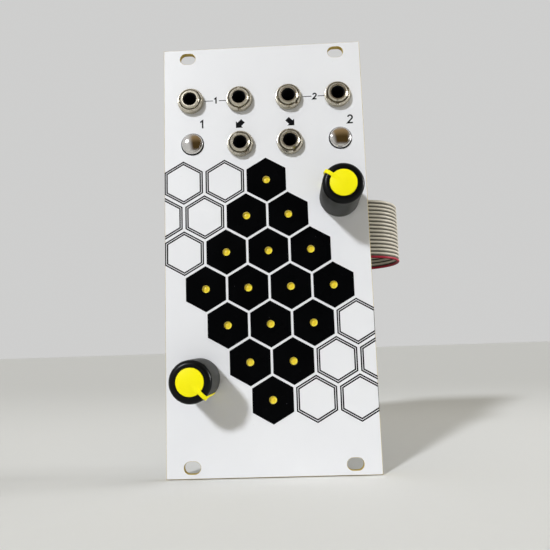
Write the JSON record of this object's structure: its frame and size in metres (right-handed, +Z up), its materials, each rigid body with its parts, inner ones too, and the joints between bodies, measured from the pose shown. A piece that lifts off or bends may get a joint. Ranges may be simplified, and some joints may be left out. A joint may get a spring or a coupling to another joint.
{
  "type": "eurorack module",
  "caption": "Upright rack synthesizer module: white board panel with hexagonal touch pads, patch jacks, pointer knobs, push buttons and a ribbon power cable behind.",
  "frame": {"origin": "centre of the panel's back face, in the plane that seats on the rack's rails", "axes": "+Z up along the panel's long side, +Y backwards into the rack, +X to the right seen from the front"},
  "size_m": [0.0758, 0.0678, 0.1284],
  "materials": {
    "white_board": "satin white solder mask on a circuit board",
    "amber_light": "clear moulded lens with a yellow light",
    "black_moulding": "moulded",
    "nickel": "nickel plated",
    "chrome_cap": "polished",
    "knob_black": "fine moulded texture",
    "insert_yellow": "satin",
    "shaft_metal": "turned",
    "green_board": "solder mask on a circuit board",
    "ribbon_grey": "ribbed flat cable with one red edge",
    "connector_grey": "moulded",
    "can_metal": "drawn"
  },
  "bodies": {
    "module": {"front_panel": "white_board", "main_board": "green_board", "led_01": "amber_light", "led_02": "amber_light", "led_03": "amber_light", "led_04": "amber_light", "led_05": "amber_light", "led_06": "amber_light", "led_07": "amber_light", "led_08": "amber_light", "led_09": "amber_light", "led_10": "amber_light", "led_11": "amber_light", "led_12": "amber_light", "led_13": "amber_light", "led_14": "amber_light", "led_15": "amber_light", "led_16": "amber_light", "jack_body_1": "black_moulding", "jack_body_2": "black_moulding", "jack_body_3": "black_moulding", "jack_body_4": "black_moulding", "jack_body_5": "black_moulding", "jack_body_6": "black_moulding", "jack_bushing_1": "nickel", "jack_bushing_2": "nickel", "jack_bushing_3": "nickel", "jack_bushing_4": "nickel", "jack_bushing_5": "nickel", "jack_bushing_6": "nickel", "jack_nut_1": "nickel", "jack_nut_2": "nickel", "jack_nut_3": "nickel", "jack_nut_4": "nickel", "jack_nut_5": "nickel", "jack_nut_6": "nickel", "pot_body_1": "black_moulding", "pot_body_2": "black_moulding", "button_switch_1": "black_moulding", "button_switch_2": "black_moulding", "link_socket": "black_moulding", "link_plug": "black_moulding", "power_header": "black_moulding", "near_socket": "connector_grey", "near_clamp": "connector_grey", "ribbon_cable": "ribbon_grey", "far_socket": "connector_grey", "far_clamp": "connector_grey", "processor": "black_moulding", "capacitor_1": "can_metal", "capacitor_2": "can_metal"},
    "upper_knob": {"pot_shaft_1": "shaft_metal", "knob_1": "knob_black", "knob_insert_1": "insert_yellow"},
    "lower_knob": {"pot_shaft_2": "shaft_metal", "knob_2": "knob_black", "knob_insert_2": "insert_yellow"},
    "left_button": {"button_cap_1": "chrome_cap"},
    "right_button": {"button_cap_2": "chrome_cap"}
  },
  "joints": [
    {"name": "upper_knob_turn", "type": "hinge", "parent": "module", "child": "upper_knob", "pos_m": [0.0219, 0, 0.015], "axis": [0, 1, 0], "range_deg": [-97.4, 202.6]},
    {"name": "lower_knob_turn", "type": "hinge", "parent": "module", "child": "lower_knob", "pos_m": [-0.0204, 0, -0.0366], "axis": [0, 1, 0], "range_deg": [-286.7, 13.3]},
    {"name": "left_button_press", "type": "slide", "parent": "module", "child": "left_button", "axis": [0, 1, 0], "range_m": [0, 0.0006], "stiffness_N_per_m": 1000},
    {"name": "right_button_press", "type": "slide", "parent": "module", "child": "right_button", "axis": [0, 1, 0], "range_m": [0, 0.0006], "stiffness_N_per_m": 1000}
  ]
}
